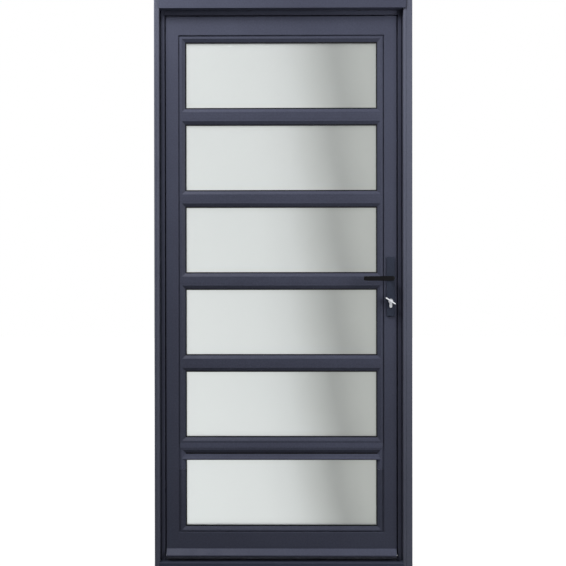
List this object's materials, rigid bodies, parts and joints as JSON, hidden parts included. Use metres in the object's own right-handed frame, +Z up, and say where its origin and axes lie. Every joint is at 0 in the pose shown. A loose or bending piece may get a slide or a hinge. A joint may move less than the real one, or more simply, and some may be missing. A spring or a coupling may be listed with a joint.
{
  "type": "glass door",
  "caption": "Inward-opening aluminium entrance door in its own frame, with satin glass between horizontal bars, lever handles, a key cylinder, a drip bar and butt hinges.",
  "frame": {"origin": "under the threshold, on the leaf's centre line, in the plane of the leaf's outer face", "axes": "+X towards the lock side, seen from outdoors; +Y indoors; +Z up"},
  "size_m": [0.959, 0.179, 2.115],
  "materials": {
    "frame_coat": "satin powder coat",
    "leaf_coat": "satin powder coat",
    "threshold_metal": "satin powder coat",
    "glass": "satin, translucent",
    "seal": "matte",
    "lever_coat": "satin black",
    "plate_coat": "satin",
    "nickel": "satin nickel",
    "steel": "zinc plated",
    "hinge_coat": "satin powder coat"
  },
  "bodies": {
    "frame": {"left_jamb": "frame_coat", "right_jamb": "frame_coat", "head": "frame_coat", "head_trim": "frame_coat", "threshold": "threshold_metal", "stop_frame": "frame_coat", "rebate_gasket": "seal", "strike_plate": "steel", "strike_screws": "steel", "hinge_frame_plates": "hinge_coat", "hinge_pins": "hinge_coat"},
    "leaf": {"backplate_screws": "steel", "bottom_rail": "leaf_coat", "bottom_seal": "seal", "cylinder_body": "nickel", "drip_bar": "leaf_coat", "faceplate_screws": "steel", "glass_pane_1": "glass", "glass_pane_2": "glass", "glass_pane_3": "glass", "glass_pane_4": "glass", "glass_pane_5": "glass", "glass_pane_6": "glass", "glazing_bar_1": "leaf_coat", "glazing_bar_2": "leaf_coat", "glazing_bar_3": "leaf_coat", "glazing_bar_4": "leaf_coat", "glazing_bar_5": "leaf_coat", "glazing_gaskets": "seal", "hinge_leaf_plates": "hinge_coat", "inner_backplate": "plate_coat", "inner_bead_1": "leaf_coat", "inner_bead_2": "leaf_coat", "inner_bead_3": "leaf_coat", "inner_bead_4": "leaf_coat", "inner_bead_5": "leaf_coat", "inner_bead_6": "leaf_coat", "inner_plug": "nickel", "left_stile": "leaf_coat", "lock_case": "steel", "lock_faceplate": "steel", "outer_backplate": "plate_coat", "outer_bead_1": "leaf_coat", "outer_bead_2": "leaf_coat", "outer_bead_3": "leaf_coat", "outer_bead_4": "leaf_coat", "outer_bead_5": "leaf_coat", "outer_bead_6": "leaf_coat", "pane_cap": "leaf_coat", "right_stile": "leaf_coat", "top_rail": "leaf_coat"},
    "handle": {"outer_lever": "lever_coat", "inner_lever": "lever_coat", "lever_spindle": "steel"},
    "latch": {"latch_bolt": "steel"},
    "deadbolt": {"deadbolt": "steel"},
    "key": {"cylinder_plug": "nickel", "key": "nickel"}
  },
  "joints": [
    {"name": "leaf_swing", "type": "hinge", "parent": "frame", "child": "leaf", "pos_m": [-0.4515, 0.074, 1.06], "axis": [0, 0, 1], "range_deg": [0, 100]},
    {"name": "lever_turn", "type": "hinge", "parent": "leaf", "child": "handle", "pos_m": [0.409, 0, 1.0775], "axis": [0, -1, 0], "range_deg": [0, 35], "stiffness_Nm_per_rad": 1.2, "springref_deg": -28.65},
    {"name": "latch_slide", "type": "slide", "parent": "leaf", "child": "latch", "axis": [-1, 0, 0], "range_m": [0, 0.0105]},
    {"name": "key_turn", "type": "hinge", "parent": "leaf", "child": "key", "pos_m": [0.409, 0, 0.9925], "axis": [0, 1, 0], "range_deg": [0, 300]},
    {"name": "deadbolt_slide", "type": "slide", "parent": "leaf", "child": "deadbolt", "axis": [1, 0, 0], "range_m": [0, 0.0199]}
  ],
  "couplings": [
    {"joint": "latch_slide", "follows": "lever_turn", "m_per_rad": 0.017},
    {"joint": "key_turn", "follows": "deadbolt_slide", "rad_per_m": 263}
  ]
}
